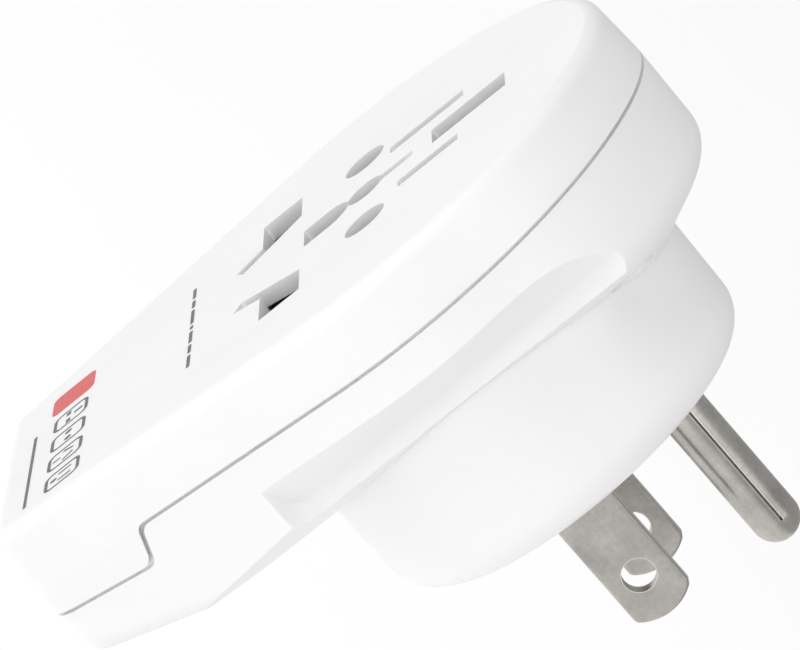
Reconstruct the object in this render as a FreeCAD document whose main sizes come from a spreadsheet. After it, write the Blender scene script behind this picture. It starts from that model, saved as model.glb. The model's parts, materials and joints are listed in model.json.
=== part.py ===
import FreeCAD, Part
import math
import os

import Sketcher

# Universal travel adapter: a multi-standard mains socket that turns into a grounded two-blade plug.
# Millimetres. The plug's mating face lies in the plane Y = 0 with the pins towards +Y, the socket
# face looks along -Y, and +Z runs up the long axis, towards the round end and the ground pin.

Vector = FreeCAD.Vector
FAR = 80.0    # larger than the object, for cuts that run right through

SIZES = {
    # outer form
    "round_radius": 28.15,       # round end, at the seam
    "round_centre": 2.05,        # height of the round end's centre above the blades' centre
    "wedge_reach": 41.2,         # blades' centre down to the narrow end
    "flank_angle": 16.6,         # each straight flank, from the long axis
    "end_corner": 2.6,
    "body_depth": 32.0,          # mating face to socket face
    "seam_depth": 6.4,           # socket face to seam
    "crown_height": 11.6,        # mating face to the housing's underside on the axis
    "crown_radius": 50.0,
    "fall_start": 12.6, "fall_z": 18.0, "end_fall": 11.6,     # underside towards the narrow end
    "cover_draft": 3.8,
    "base_draft": 1.0,
    "face_round": 1.3,
    # where the round end's wall meets the underside
    "rim_edge": 16.1, "rim_slope": 27.8, "rim_round": 3.0,
    "narrow_end_fillet": 2.2,
    "wall": 1.8,
    "face_wall": 1.6,
    # finger scoops
    "scoop_plane": 21.1,
    "scoop_start": 17.7,
    "scoop_root": 17.7,
    "scoop_top": 21.9,
    "scoop_fillet": 2.4,
    "scoop_end_fillet": 3.2,
    "ledge_flank_z": 12.0,
    "ledge_round_z": 14.0,
    "ledge_end_slope": 3.0,
    "ledge_reach": 20.0,
    "ledge_inset": 0.6,
    # seam
    "seam_gap": 0.35,
    "step_top": 28.9,
    "step_bottom": 30.3,
    "step_drop": 3.7,
    "step_fillet": 1.2,
    "end_drop": 2.6,
    "lap_height": 1.4,
    "lap_inset": 0.95,
    "lap_clearance": 0.08,
    # socket holes
    "uk_z": -7.05, "uk_long": 4.7, "uk_outer": 14.4,
    "au_z": -9.2, "au_x": 6.86, "au_tilt": 30.0, "au_half_long": 3.4, "au_half_wide": 0.9,
    "euro_z": 2.9, "euro_x": 9.5, "euro_r": 2.3,
    "us_z": 10.3, "us_x": 6.35, "us_wide": 1.9, "us_long_left": 8.7, "us_long_right": 7.0,
    "uk_earth_z": 15.15, "uk_earth_long": 8.6, "uk_earth_wide": 4.4,
    "mid_low": 4.3, "mid_half": 2.45, "mid_centre": -1.45,
    "it_z": 2.95, "it_r": 2.05, "au_earth_half": 0.8, "au_earth_end": 8.6,
    # plug
    "boss_radius": 20.1, "boss_draft": 1.5, "boss_round": 3.6, "face_plate": 3.4,
    "spigot_radius": 18.4, "spigot_wall": 1.6, "spigot_top": 15.3, "spigot_clearance": 0.1,
    "blade_x": 6.35, "blade_wide": 6.35, "blade_thick": 1.5, "blade_out": 15.45,
    "blade_hole_y": 10.75, "blade_hole_r": 1.65, "blade_corner": 0.8, "blade_edge": 0.25,
    "blade_end_r": 4.8,
    "blade_in": 16.5, "fit": 0.05,
    "pin_z": 11.9, "pin_r": 2.4, "pin_out": 18.9, "pin_in": 4.9, "pin_swell": 0.6,
    "pin_seam_angle": 73.0, "pin_seam_deep": 0.3, "pin_seam_half": 0.12,
    # contacts
    "sheet": 0.45, "bus_x": 15.0, "bus_thick": 0.6, "clip_top": 24.2, "clip_bottom": 17.9,
    "bus_top": 22.5, "bus_bottom": 17.25, "bus_low": 9.6, "bus_high": 13.6,
    "tab_low": 3.6, "tab_high": 0.6, "tab_thick": 0.75, "rivet_x": 12.4, "rivet_r": 0.8,
    "uk_gap": 4.2, "euro_tube_r": 2.05, "us_gap": 1.7, "us_clip_long": 6.2,
    "earth_gap": 4.9, "earth_slit_gap": 1.9,
    # carrier
    "carrier_top": 25.6, "carrier_bottom": 17.2, "carrier_plate": 1.2, "carrier_x": 18.4,
    "carrier_low": 13.9, "carrier_shoulder": 15.8, "carrier_neck": 12.6, "carrier_high": 20.9,
    "channel_half": 3.2, "rib": 1.0, "window_play": 0.2,
    # shutter
    "shutter_play": 0.25, "rail_in": 14.7, "rail_out": 16.5, "rail_deep": 2.0,
    "bar_low": 23.8, "bar_high": 21.0, "lug_x": 18.7, "lug_z": -0.2, "lug_thick": 1.6,
    "anchor_z": 15.0, "anchor_thick": 0.8,
    "spring_r": 1.35, "wire_r": 0.2, "spring_turns": 8.0,
    # fasteners
    "screw_top_x": 16.2, "screw_top_z": 19.3, "screw_low_x": 9.0, "screw_low_z": -33.0,
    "screw_r": 1.1, "screw_head_r": 2.3, "screw_head": 1.6, "recess_r": 2.6, "post_r": 3.4,
    "screw_seat": 18.2, "screw_tip": 28.6, "cover_post_r": 2.6,
    "retainer_y": 9.0, "retainer_thick": 1.6, "retainer_r": 16.6,
    "retainer_screw_x": 11.0, "retainer_screw_z": -7.6,
}

doc = FreeCAD.newDocument("travel_adapter")
sheet = doc.addObject("Spreadsheet::Sheet", "Sizes")
for row, (alias, number) in enumerate(SIZES.items(), 1):
    sheet.set("A%d" % row, alias)
    sheet.set("B%d" % row, str(number))
    sheet.setAlias("B%d" % row, alias)
doc.recompute()


def size(alias):
    return float(sheet.get(alias))


def named(*parts):
    """Joins formula pieces, with each $name standing for that cell of the sheet."""
    return " ".join(parts).replace("$", "Sizes.")


# ---------------------------------------------------------------- sketch and feature helpers

def new_body(name):
    body = doc.addObject("PartDesign::Body", name)
    body.Label = name
    return body


def new_sketch(body, role, offset="0"):
    sketch = body.newObject("Sketcher::SketchObject", "sketch")
    origin = next(o for o in body.Origin.OriginFeatures if o.Role == role)
    sketch.AttachmentSupport = [(origin, "")]
    sketch.MapMode = "FlatFace"
    sketch.setExpression("AttachmentOffset.Base.z", named(offset))
    return sketch


def dimension(sketch, kind, where, start, formula):
    index = sketch.addConstraint(Sketcher.Constraint(kind, *where, start))
    sketch.setExpression("Constraints[%d]" % index, named(formula))


def polygon(sketch, corners):
    """A closed outline through corners, each a pair of formulas."""
    first = sketch.GeometryCount
    count = len(corners)
    turns = [2 * math.pi * i / count for i in range(count)]
    start = [Vector(math.cos(turn), math.sin(turn), 0) for turn in turns]
    for i in range(count):
        sketch.addGeometry(Part.LineSegment(start[i], start[(i + 1) % count]), False)
    for i in range(count):
        sketch.addConstraint(Sketcher.Constraint("Coincident", first + i, 2, first + (i + 1) % count, 1))
    for i, (across, up) in enumerate(corners):
        dimension(sketch, "DistanceX", (-1, 1, first + i, 1), start[i].x, across)
        dimension(sketch, "DistanceY", (-1, 1, first + i, 1), start[i].y, up)


def corners_of(left, right, low, high):
    return [(left, low), (right, low), (right, high), (left, high)]


def rectangle(sketch, left, right, low, high):
    polygon(sketch, corners_of(left, right, low, high))


def circle(sketch, across, up, radius):
    index = sketch.addGeometry(Part.Circle(Vector(0, 0, 0), Vector(0, 0, 1), 1), False)
    dimension(sketch, "Radius", (index,), 1, radius)
    dimension(sketch, "DistanceX", (-1, 1, index, 3), 0, across)
    dimension(sketch, "DistanceY", (-1, 1, index, 3), 0, up)


def pad(body, sketch, length, back=False, middle=False, draft=None):
    feature = body.newObject("PartDesign::Pad", "pad")
    feature.Profile = sketch
    feature.setExpression("Length", named(length))
    feature.Reversed = back
    feature.Midplane = middle
    if draft:
        feature.setExpression("TaperAngle", named(draft))
    doc.recompute()
    return feature


def pocket(body, sketch, length, back=False, middle=False):
    before = body.Shape.Volume
    feature = body.newObject("PartDesign::Pocket", "pocket")
    feature.Profile = sketch
    feature.setExpression("Length", named(length))
    feature.Reversed = back
    feature.Midplane = middle
    doc.recompute()
    if not feature.Shape.Volume < before:
        raise ValueError("a pocket of %s removes nothing" % body.Label)
    return feature


def edges_where(shape, test):
    return ["Edge%d" % (i + 1) for i, edge in enumerate(shape.Edges) if test(edge.BoundBox)]


def fillet(body, test, radius):
    base = body.Tip
    chosen = edges_where(base.Shape, test)
    if not chosen:
        raise ValueError("no edge of %s to round" % body.Label)
    feature = body.newObject("PartDesign::Fillet", "fillet")
    feature.Base = (base, chosen)
    feature.setExpression("Radius", named(radius))
    doc.recompute()
    if not feature.isValid():
        raise ValueError("%s can't be rounded by %s" % (body.Label, radius))
    return feature


def boolean(kind, name, base, tool):
    result = doc.addObject("Part::" + kind, name)
    if kind == "Cut":
        result.Base, result.Tool = base, tool
    else:
        result.Shapes = [base] + tool
    result.Label = name
    doc.recompute()
    return result


def cylinder(name, x, z, radius, y_low, y_high):
    """A cylinder along Y; y_low and y_high are formulas of its two ends."""
    rod = doc.addObject("Part::Cylinder", name)
    rod.Placement = FreeCAD.Placement(Vector(), FreeCAD.Rotation(Vector(1, 0, 0), -90))
    rod.setExpression("Radius", named(radius))
    rod.setExpression("Height", named("(%s) - (%s)" % (y_high, y_low)))
    for axis, formula in zip("xyz", (x, y_low, z)):
        rod.setExpression("Placement.Base." + axis, named(formula))
    return rod


def box(name, x_span, y_span, z_span):
    """A box between three pairs of formulas."""
    block = doc.addObject("Part::Box", name)
    spans = (x_span, y_span, z_span)
    for axis, side, (low, high) in zip("xyz", ("Length", "Width", "Height"), spans):
        block.setExpression("Placement.Base." + axis, named(low))
        block.setExpression(side, named("(%s) - (%s)" % (high, low)))
    return block


# ---------------------------------------------------------------- outer form

def teardrop(body, inset):
    """The plan outline at the seam, drawn inset from the outside: a round end, two flanks, a narrow end."""
    sketch = new_sketch(body, "XZ_Plane", "$body_depth - $seam_depth")
    radius = size("round_radius") - inset
    centre_z = size("round_centre")
    angle = math.radians(size("flank_angle"))
    reach = size("wedge_reach") - inset
    corner = max(size("end_corner") - inset, 0.3)
    half = radius / math.cos(angle) - (reach + centre_z) * math.tan(angle)
    tangent = corner / math.tan((math.pi / 2 + angle) / 2)
    middle = Vector(half - tangent, corner - reach, 0)
    flank_top = Vector(radius * math.cos(angle), centre_z - radius * math.sin(angle), 0)
    flank_low = Vector(half, -reach, 0) + Vector(math.sin(angle), math.cos(angle), 0) * tangent
    up = Vector(0, 0, 1)

    def mirrored(point):
        return Vector(-point.x, point.y, 0)

    end_right = Vector(half - tangent, -reach, 0)
    for shape in (
        Part.Arc(Part.Circle(Vector(0, centre_z, 0), up, radius), -angle, math.pi + angle),
        Part.LineSegment(flank_top, flank_low),
        Part.Arc(Part.Circle(middle, up, corner), -math.pi / 2, -angle),
        Part.LineSegment(end_right, mirrored(end_right)),
        Part.Arc(Part.Circle(mirrored(middle), up, corner), math.pi + angle, 1.5 * math.pi),
        Part.LineSegment(mirrored(flank_low), mirrored(flank_top)),
    ):
        sketch.addGeometry(shape, False)
    joins = ((0, 1, 1, 1), (1, 2, 2, 2), (2, 1, 3, 1), (3, 2, 4, 2), (4, 1, 5, 1), (5, 2, 0, 2))
    for where in joins:
        sketch.addConstraint(Sketcher.Constraint("Tangent", *where))
    sketch.addConstraint(Sketcher.Constraint("PointOnObject", 0, 3, -2))
    sketch.addConstraint(Sketcher.Constraint("Symmetric", 3, 1, 3, 2, -2))
    sketch.addConstraint(Sketcher.Constraint("Equal", 2, 4))
    dimension(sketch, "Radius", (0,), radius, "$round_radius - %g" % inset)
    dimension(sketch, "DistanceY", (-1, 1, 0, 3), centre_z, "$round_centre")
    dimension(sketch, "DistanceY", (3, 1, -1, 1), reach, "$wedge_reach - %g" % inset)
    dimension(sketch, "Radius", (2,), corner, "max($end_corner - %g; 0.3)" % inset)
    dimension(sketch, "Angle", (1,), -math.pi / 2 - angle, "-(90 deg + $flank_angle * 1 deg)")
    return sketch


def prism(name, inset, face_inset):
    """The drafted walls alone, from the socket face down past the underside."""
    body = new_body(name)
    outline = teardrop(body, inset)
    pad(body, outline, "$seam_depth - %g" % face_inset, draft="-$cover_draft")
    pad(body, outline, "$body_depth - $seam_depth - 6", back=True, draft="-$base_draft")
    return body


def form(name, inset, face_inset):
    """The closed outer form of the housing, inset by a wall: drafted walls, crowned underside, scoops."""
    body = prism(name, inset, face_inset)

    crown = new_sketch(body, "XY_Plane")
    radius = size("crown_radius") - inset
    centre = -size("crown_height") - size("crown_radius")
    side = 34.0
    arc = Part.Arc(Part.Circle(Vector(0, centre, 0), Vector(0, 0, 1), radius),
                   math.acos(side / radius), math.pi - math.acos(side / radius))
    crown.addGeometry(arc, False)
    low = arc.EndPoint.y
    points = [Vector(-side, low, 0), Vector(-side, 5, 0), Vector(side, 5, 0), Vector(side, low, 0)]
    for a, b in zip(points, points[1:]):
        crown.addGeometry(Part.LineSegment(a, b), False)
    for where in ((0, 2, 1, 1), (1, 2, 2, 1), (2, 2, 3, 1), (3, 2, 0, 1)):
        crown.addConstraint(Sketcher.Constraint("Coincident", *where))
    for line in (1, 3):
        crown.addConstraint(Sketcher.Constraint("Vertical", line))
    crown.addConstraint(Sketcher.Constraint("PointOnObject", 0, 3, -2))
    crown.addConstraint(Sketcher.Constraint("Symmetric", 2, 1, 2, 2, -2))
    dimension(crown, "Radius", (0,), radius, "$crown_radius - %g" % inset)
    dimension(crown, "DistanceY", (0, 3, -1, 1), -centre, "$crown_height + $crown_radius")
    dimension(crown, "DistanceX", (2, 1, 2, 2), 2 * side, "%g" % (2 * side))
    dimension(crown, "DistanceY", (-1, 1, 2, 1), 5, "5")
    pocket(body, crown, "2 * %g" % FAR, middle=True)

    fall = new_sketch(body, "YZ_Plane")
    shift = "%g / cos($end_fall * 1 deg)" % inset
    polygon(fall, [
        ("-$fall_start - " + shift, "-$fall_z"),
        ("-$fall_start - %s - (50 - $fall_z) * tan($end_fall * 1 deg)" % shift, "-50"),
        ("5", "-50"),
        ("5", "-$fall_z + 20"),
        ("-$fall_start - %s + 20 * tan($end_fall * 1 deg)" % shift, "-$fall_z + 20"),
    ])
    pocket(body, fall, "2 * %g" % FAR, middle=True)
    return body


def round_the_end(body, inset):
    """Slopes the underside down to a small round along the wall of the round end, with a revolved cut."""
    rounding = new_sketch(body, "YZ_Plane")
    slope = math.radians(size("rim_slope"))
    bend = size("rim_round") - inset
    edge = size("rim_edge") + inset * (1 / math.cos(slope) - math.tan(slope))
    back = bend / math.tan((math.pi / 2 + slope) / 2)
    depth = size("body_depth") - size("seam_depth") - edge - back
    draft = math.tan(math.radians(size("base_draft")))
    rim = size("round_centre") + size("round_radius") - inset - depth * draft
    high, out = 8.0, 6.0        # how far the cut runs clear of the underside and of the wall
    corner = Vector(-edge, rim, 0)
    on_wall = corner - Vector(back, 0, 0)
    centre = on_wall - Vector(0, bend, 0)
    on_slope = corner + Vector(math.sin(slope), -math.cos(slope), 0) * back
    middle = centre + ((on_wall + on_slope) / 2 - centre).normalize() * bend
    start = Vector(-high, rim - (edge - high) / math.tan(slope), 0)
    loop = [on_wall, Vector(on_wall.x, rim + out, 0), Vector(-high, rim + out, 0), start, on_slope]
    rounding.addGeometry(Part.Arc(on_slope, middle, on_wall), False)
    for a, b in zip(loop, loop[1:]):
        rounding.addGeometry(Part.LineSegment(a, b), False)
    rounding.addConstraint(Sketcher.Constraint("Coincident", 0, 2, 1, 1))
    for line in (1, 2, 3):
        rounding.addConstraint(Sketcher.Constraint("Coincident", line, 2, line + 1, 1))
    rounding.addConstraint(Sketcher.Constraint("Tangent", 4, 2, 0, 1))
    rounding.addConstraint(Sketcher.Constraint("Vertical", 0, 3, 0, 2))
    for line, kind in ((1, "Vertical"), (2, "Horizontal"), (3, "Vertical")):
        rounding.addConstraint(Sketcher.Constraint(kind, line))
    tilt = "$rim_slope * 1 deg"
    edge_formula = "($rim_edge + %g * (1 / cos(%s) - tan(%s)))" % (inset, tilt, tilt)
    back_formula = "($rim_round - %g) / tan((90 deg + %s) / 2)" % (inset, tilt)
    depth_formula = "($body_depth - $seam_depth - %s - %s)" % (edge_formula, back_formula)
    rim_formula = "$round_centre + $round_radius - %g - %s * tan($base_draft * 1 deg)" % (
        inset, depth_formula)
    dimension(rounding, "Radius", (0,), bend, "$rim_round - %g" % inset)
    dimension(rounding, "DistanceY", (-1, 1, 0, 2), rim, rim_formula)
    dimension(rounding, "DistanceY", (0, 2, 2, 2), out, "%g" % out)
    dimension(rounding, "DistanceX", (4, 1, -1, 1), high, "%g" % high)
    dimension(rounding, "DistanceY", (-1, 1, 4, 1), start.y,
              "%s - (%s - %g) / tan(%s)" % (rim_formula, edge_formula, high, tilt))
    dimension(rounding, "Angle", (4,), math.pi / 2 + slope, "90 deg + " + tilt)
    far_end, near_end = (Vector(-reach, size("round_centre"), 0) for reach in (30, 5))
    axis = rounding.addGeometry(Part.LineSegment(far_end, near_end), True)
    rounding.addConstraint(Sketcher.Constraint("Horizontal", axis))
    dimension(rounding, "DistanceY", (-1, 1, axis, 1), far_end.y, "$round_centre")
    dimension(rounding, "DistanceX", (axis, 1, -1, 1), -far_end.x, "%g" % -far_end.x)
    dimension(rounding, "DistanceX", (axis, 2, -1, 1), -near_end.x, "%g" % -near_end.x)
    doc.recompute()
    before = body.Shape.Volume
    groove = body.newObject("PartDesign::Groove", "groove")
    groove.Profile = rounding
    groove.ReferenceAxis = (rounding, ["Axis0"])
    groove.Angle = 180
    groove.Midplane = True
    doc.recompute()
    if not groove.Shape.Volume < before:
        raise ValueError("the round end of %s isn't rounded" % body.Label)


def near(low, high, value):
    return low > value - 0.02 and high < value + 0.02


def ledge_slopes():
    """The ledge's slope at each station up the scoop, as pairs of formula and number."""
    rise = size("scoop_top") - size("scoop_root")
    lean = math.radians(size("flank_angle"))
    low, high = size("ledge_flank_z"), size("ledge_round_z")
    flank = size("round_radius") / math.cos(lean) - (size("round_centre") + low) * math.tan(lean)
    round_wall = math.sqrt(size("round_radius") ** 2 - (high - size("round_centre")) ** 2)
    rise_formula = "($scoop_top - $scoop_root)"
    flank_formula = ("($round_radius / cos($flank_angle * 1 deg)"
                     " - ($round_centre + $ledge_flank_z) * tan($flank_angle * 1 deg))")
    round_formula = "sqrt($round_radius ^ 2 - ($ledge_round_z - $round_centre) ^ 2)"
    end = ("$ledge_end_slope", size("ledge_end_slope"))
    return (
        ("-$scoop_start - 5", *end),
        ("-$ledge_flank_z", "%s / (%s - $scoop_plane)" % (rise_formula, flank_formula),
         rise / (flank - size("scoop_plane"))),
        ("$round_centre", "%s / ($round_radius - $scoop_plane)" % rise_formula,
         rise / (size("round_radius") - size("scoop_plane"))),
        ("$ledge_round_z", "%s / (%s - $scoop_plane)" % (rise_formula, round_formula),
         rise / (round_wall - size("scoop_plane"))),
        ("$scoop_plane + 3", *end),
    )


def scoop_section(name, side, inset):
    """One scoop's long form: a flat floor under a ledge, whose top keeps its height as the wall curves in."""
    body = new_body(name)
    mirror = -1 if side else 1
    floor, foot = size("scoop_plane") - inset, -size("scoop_root") - size("ledge_inset") * inset
    reach, bend, top = size("ledge_reach"), size("scoop_fillet"), 4.0
    sketches = []
    for height, slope_formula, slope in ledge_slopes():
        sketch = new_sketch(body, "XY_Plane", height)
        fall = math.atan(slope)
        back = bend * math.tan((math.pi / 2 - fall) / 2)     # corner to where the round begins
        on_floor = Vector(mirror * floor, foot + back, 0)
        on_ledge = Vector(mirror * (floor + back * math.cos(fall)), foot - back * math.sin(fall), 0)
        centre = Vector(mirror * (floor + bend), foot + back, 0)
        middle = centre + ((on_floor + on_ledge) / 2 - centre).normalize() * bend
        tip = Vector(mirror * (floor + reach), foot - reach * slope, 0)
        outer, inner = Vector(tip.x, top, 0), Vector(on_floor.x, top, 0)
        sketch.addGeometry(Part.LineSegment(inner, on_floor), False)
        sketch.addGeometry(Part.Arc(on_floor, middle, on_ledge), False)
        for first, second in ((on_ledge, tip), (tip, outer), (outer, inner)):
            sketch.addGeometry(Part.LineSegment(first, second), False)
        starts = (1, 2) if side == "" else (2, 1)     # the round's ends, by which way it turns
        sketch.addConstraint(Sketcher.Constraint("Tangent", 0, 2, 1, starts[0]))
        sketch.addConstraint(Sketcher.Constraint("Tangent", 1, starts[1], 2, 1))
        for first, second in ((2, 3), (3, 4), (4, 0)):
            sketch.addConstraint(Sketcher.Constraint("Coincident", first, 2, second, 1))
        for line, kind in ((0, "Vertical"), (3, "Vertical"), (4, "Horizontal")):
            sketch.addConstraint(Sketcher.Constraint(kind, line))
        dimension(sketch, "Radius", (1,), bend, "$scoop_fillet")
        dimension(sketch, "DistanceX", (-1, 1, 0, 1), inner.x, side + "($scoop_plane - %g)" % inset)
        dimension(sketch, "DistanceY", (-1, 1, 0, 1), top, "%g" % top)
        dimension(sketch, "DistanceX", (-1, 1, 2, 2), tip.x,
                  side + "($scoop_plane - %g + $ledge_reach)" % inset)
        low = "-$scoop_root - $ledge_inset * %g - $ledge_reach * %s" % (inset, slope_formula)
        dimension(sketch, "DistanceY", (-1, 1, 2, 2), tip.y, low)
        dimension(sketch, "Angle", (2,), math.atan2(tip.y - on_ledge.y, tip.x - on_ledge.x),
                  "-atan(%s)" % slope_formula if side == "" else "-(180 deg - atan(%s))" % slope_formula)
        sketches.append(sketch)
    loft = body.newObject("PartDesign::AdditiveLoft", "loft")
    loft.Profile = sketches[0]
    loft.Sections = sketches[1:]
    doc.recompute()
    return body


def scoops(name, inset):
    """The two finger scoops as a cutting tool: a flat plane on each side under a sloping ledge."""
    sections = [scoop_section(name + label, side, inset) for label, side in (("_right", ""), ("_left", "-"))]
    section = fuse(name + "_section", *sections)
    plan = new_body(name + "_plan")
    outline = new_sketch(plan, "XZ_Plane")
    floor = "($scoop_plane - %g)" % inset
    for sign in ("", "-"):
        rectangle(outline, sign + floor, sign + "40", "-$scoop_start - %g" % inset, "$scoop_plane + 2.5")
    pad(plan, outline, "2 * %g" % FAR, middle=True)
    x = size("scoop_plane") - inset
    z = -size("scoop_start") - inset
    fillet(plan, lambda b: b.YLength > FAR and near(abs(b.XMin), abs(b.XMax), x) and near(b.ZMin, b.ZMax, z),
           "$scoop_end_fillet")
    return common(name, section, plan)


def housing_form(name, inset, face_inset):
    """The whole closed form of the housing, inset by a wall."""
    body = form(name + "_walls", inset, face_inset)
    round_the_end(body, inset)
    return boolean("Cut", name, body, scoops(name + "_scoops", inset))


def soft_edges(name, base):
    """base with its face edge and narrow end rounded."""
    start = -size("scoop_start")
    face = -size("body_depth")
    underside = -21.6     # every edge nearer the plug than this belongs to the underside
    edges = []
    for number, edge in enumerate(base.Shape.Edges, 1):
        b = edge.BoundBox
        if near(b.YMin, b.YMax, face):
            edges.append((number, size("face_round"), size("face_round")))
        elif b.YMin > underside and b.ZMax < start + 0.02 and b.ZMin < start - 1:
            edges.append((number, size("narrow_end_fillet"), size("narrow_end_fillet")))
    rounded = doc.addObject("Part::Fillet", name)
    rounded.Base = base
    rounded.Edges = edges
    rounded.Label = name
    doc.recompute()
    if not rounded.isValid():
        raise ValueError("%s can't be rounded" % name)
    return rounded


def zone(name, toward_round, toward_pins):
    """Everything on the socket side of the seam, with the seam's line moved by two distances (formulas)."""
    body = new_body(name)
    sketch = new_sketch(body, "YZ_Plane")
    seam = "-$body_depth + $seam_depth + " + toward_pins
    polygon(sketch, [
        (seam, "50"),
        (seam, "-$step_top + " + toward_round),
        (seam + " + $step_drop", "-$step_bottom + " + toward_round),
        (seam + " + $end_drop - ($step_drop - $end_drop) * 0.7", "-55"),
        ("-50", "-55"),
        ("-50", "50"),
    ])
    pad(body, sketch, "2 * %g" % FAR, middle=True)
    top, bottom = -size("step_top"), -size("step_bottom")
    fillet(body, lambda b: b.XLength > FAR and bottom - 2 < b.ZMin < top + 2, "$step_fillet")
    return body


PIECES = []


def piece(name, item):
    """Files item under its own name as one sub-part of the adapter."""
    item.Label = name
    PIECES.append(item)
    return item


def fuse(name, *items):
    return boolean("MultiFuse", name, items[0], list(items[1:]))


def cut(name, base, *tools):
    tool = tools[0] if len(tools) == 1 else fuse(name + "_tools", *tools)
    return boolean("Cut", name, base, tool)


def common(name, *items):
    return boolean("MultiCommon", name, items[0], list(items[1:]))


def plate(name, y_low, y_high, outlines):
    """A flat piece in the XZ plane between two heights, through closed outlines of formula pairs."""
    body = new_body(name)
    sketch = new_sketch(body, "XZ_Plane", "-(%s)" % y_high)
    for corners in outlines:
        polygon(sketch, corners)
    pad(body, sketch, "(%s) - (%s)" % (y_high, y_low))
    return body


def side_of(side, corners):
    return [("%s(%s)" % (side, x), z) for x, z in corners]


def span_of(side, near_x, far_x):
    """The span between two distances from the axis, on the right or on the left."""
    return (near_x, far_x) if side == "" else ("-(%s)" % far_x, "-(%s)" % near_x)


def both_sides(x, z):
    return [(sign + "(" + x + ")", z) for sign in ("", "-")]


# ---------------------------------------------------------------- housing

def socket_holes():
    """The socket's whole hole pattern as one cutting tool through the face."""
    body = new_body("socket_holes")
    lean = "($au_tilt * 1 deg)"
    along_x, along_z = "sin%s" % lean, "cos%s" % lean

    def au(end, side):
        """A corner of the slanted slit: end and side are -1 or 1."""
        x = "$au_x + %d * $au_half_long * %s + %d * $au_half_wide * %s" % (end, along_x, side, along_z)
        z = "$au_z + %d * $au_half_long * %s - %d * $au_half_wide * %s" % (end, along_z, side, along_x)
        return x, z

    slope = "tan%s" % lean
    uk_low, uk_high = "$uk_z - $uk_long / 2", "$uk_z + $uk_long / 2"
    inner_x, inner_z = au(-1, -1)
    outer_x, outer_z = au(-1, 1)
    pole = [
        (inner_x, inner_z),
        ("%s + (%s - (%s)) * %s" % (inner_x, uk_high, inner_z, slope), uk_high),
        ("$uk_outer", uk_high),
        ("$uk_outer", uk_low),
        ("%s + (%s - (%s)) * %s" % (outer_x, uk_low, outer_z, slope), uk_low),
        (outer_x, outer_z),
    ]
    first = new_sketch(body, "XZ_Plane")
    for sign in ("", "-"):
        polygon(first, [("%s(%s)" % (sign, x), z) for x, z in pole])
        circle(first, sign + "$euro_x", "$euro_z", "$euro_r")
    for sign, length in (("", "$us_long_right"), ("-", "$us_long_left")):
        rectangle(first, "%s$us_x - $us_wide / 2" % sign, "%s$us_x + $us_wide / 2" % sign,
                  "$us_z - %s / 2" % length, "$us_z + %s / 2" % length)
    rectangle(first, "-$uk_earth_wide / 2", "$uk_earth_wide / 2",
              "$uk_earth_z - $uk_earth_long / 2", "$uk_earth_z + $uk_earth_long / 2")
    rectangle(first, "-$mid_half", "$mid_half", "-$mid_low", "$mid_centre")
    pad(body, first, "2 * %g" % FAR, middle=True)
    second = new_sketch(body, "XZ_Plane")
    circle(second, "0", "$mid_centre", "$mid_half")
    rectangle(second, "-$au_earth_half", "$au_earth_half", "$it_z + 1", "$au_earth_end")
    pad(body, second, "2 * %g" % FAR, middle=True)
    third = new_sketch(body, "XZ_Plane")
    circle(third, "0", "$it_z", "$it_r")
    pad(body, third, "2 * %g" % FAR, middle=True)
    return body


def screw_places():
    for x, z in (("$screw_top_x", "$screw_top_z"), ("$screw_low_x", "$screw_low_z")):
        yield from both_sides(x, z)


def lap(name, low_inset, high_inset, band):
    ring = cut(name + "_ring", prism(name + "_out", low_inset, 0), prism(name + "_in", high_inset, 0))
    return common(name, ring, band)


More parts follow.
